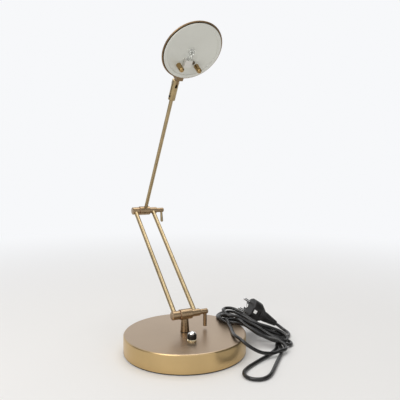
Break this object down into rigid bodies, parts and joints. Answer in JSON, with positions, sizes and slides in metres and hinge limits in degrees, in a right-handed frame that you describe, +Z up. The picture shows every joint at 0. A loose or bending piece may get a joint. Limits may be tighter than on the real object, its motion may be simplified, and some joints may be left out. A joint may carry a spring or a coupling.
{
  "type": "tabletop searchlight lamp",
  "caption": "Desk lamp with a heavy round base, a pair of slim rods, a single upper rod and a small tilting dish-shaped head, gilt metal, with a coiled mains cord.",
  "frame": {"origin": "centre of the base's underside, on the table", "axes": "+Z up, the hinge bolts along X, the arms swing in the YZ plane and reach forward to -Y"},
  "size_m": [0.3037, 0.3561, 0.517],
  "materials": {
    "gilt_plate": "satin",
    "dark_steel": "satin",
    "zinc_steel": "satin",
    "chrome_plate": "polished",
    "cast_ballast": "rough",
    "core_steel": "satin",
    "copper_wire": "satin",
    "white_plastic": "matte",
    "black_plastic": "satin",
    "black_rubber": "matte",
    "fibre": "matte",
    "white_lacquer": "satin",
    "ceramic": "satin",
    "clear_glass": "gloss"
  },
  "bodies": {
    "base": {"base_cover": "gilt_plate", "bottom_plate": "zinc_steel", "foot_pad": "black_rubber", "ballast_ring": "cast_ballast", "ballast_screws": "zinc_steel", "transformer_core": "core_steel", "transformer_winding": "copper_wire", "terminal_block": "white_plastic", "cord_clamp": "black_plastic", "cord_bush": "black_rubber", "switch_ring_nut": "chrome_plate", "switch_housing": "black_plastic", "swivel_washer": "black_plastic", "mains_cord": "black_rubber", "cord_hank": "black_rubber", "cord_front_strand": "black_rubber", "cord_floor_loop": "black_rubber", "cord_tail": "black_rubber", "plug_body": "black_plastic", "plug_pins": "chrome_plate", "plug_earth_parts": "zinc_steel"},
    "switch": {"switch_button": "chrome_plate"},
    "stem": {"stem": "gilt_plate", "stem_tube": "zinc_steel", "stem_washer": "zinc_steel", "stem_nut": "zinc_steel", "lower_tee": "gilt_plate"},
    "lower_arm": {"left_rod": "gilt_plate", "right_rod": "gilt_plate", "lower_left_hub": "gilt_plate", "lower_right_hub": "gilt_plate", "upper_left_hub": "gilt_plate", "upper_right_hub": "gilt_plate", "lower_hinge_bolt": "dark_steel", "upper_hinge_bolt": "dark_steel", "lower_hinge_washers": "fibre", "upper_hinge_washers": "fibre"},
    "lower_clamp": {"lower_clamp_nut": "gilt_plate", "lower_clamp_handle": "gilt_plate"},
    "upper_clamp": {"upper_clamp_nut": "gilt_plate", "upper_clamp_handle": "gilt_plate"},
    "upper_arm": {"upper_tee": "gilt_plate", "upper_rod": "gilt_plate", "neck_collar": "gilt_plate", "collar_screw": "dark_steel", "neck_spindle": "zinc_steel"},
    "neck": {"neck_fork": "gilt_plate", "tilt_pin": "dark_steel", "tilt_pin_nut": "gilt_plate"},
    "head": {"head_bracket": "gilt_plate", "head_shell": "gilt_plate", "reflector": "white_lacquer", "dome_nuts": "gilt_plate", "head_studs": "dark_steel", "holder_plate": "zinc_steel", "lamp_holder": "ceramic", "holder_screw": "dark_steel", "capsule": "clear_glass", "capsule_pins": "zinc_steel"}
  },
  "joints": [
    {"name": "stem_swivel", "type": "hinge", "parent": "base", "child": "stem", "pos_m": [0, 0, 0.031], "axis": [0, 0, 1], "range_deg": [-75, 150]},
    {"name": "lower_hinge", "type": "hinge", "parent": "stem", "child": "lower_arm", "pos_m": [0, 0, 0.06], "axis": [1, 0, 0], "range_deg": [-25, 75]},
    {"name": "lower_lever", "type": "hinge", "parent": "lower_arm", "child": "lower_clamp", "pos_m": [0.037, 0, 0.06], "axis": [1, 0, 0], "range_deg": [-90, 120]},
    {"name": "upper_hinge", "type": "hinge", "parent": "lower_arm", "child": "upper_arm", "pos_m": [0, 0.19091, 0.21515], "axis": [1, 0, 0], "range_deg": [-110, 60]},
    {"name": "upper_lever", "type": "hinge", "parent": "lower_arm", "child": "upper_clamp", "pos_m": [0.037, 0.19091, 0.21515], "axis": [1, 0, 0], "range_deg": [-90, 120]},
    {"name": "neck_swivel", "type": "hinge", "parent": "upper_arm", "child": "neck", "pos_m": [0.003, 0.19091, 0.21515], "axis": [0, -0.5519, 0.8339], "range_deg": [-150, 150]},
    {"name": "head_tilt", "type": "hinge", "parent": "neck", "child": "head", "pos_m": [0.003, 0.04161, 0.44071], "axis": [0.9962, 0.0727, 0.0481], "range_deg": [-50, 75]},
    {"name": "switch_press", "type": "slide", "parent": "base", "child": "switch", "axis": [0, 0, -1], "range_m": [0, 0.0025], "stiffness_N_per_m": 400}
  ]
}
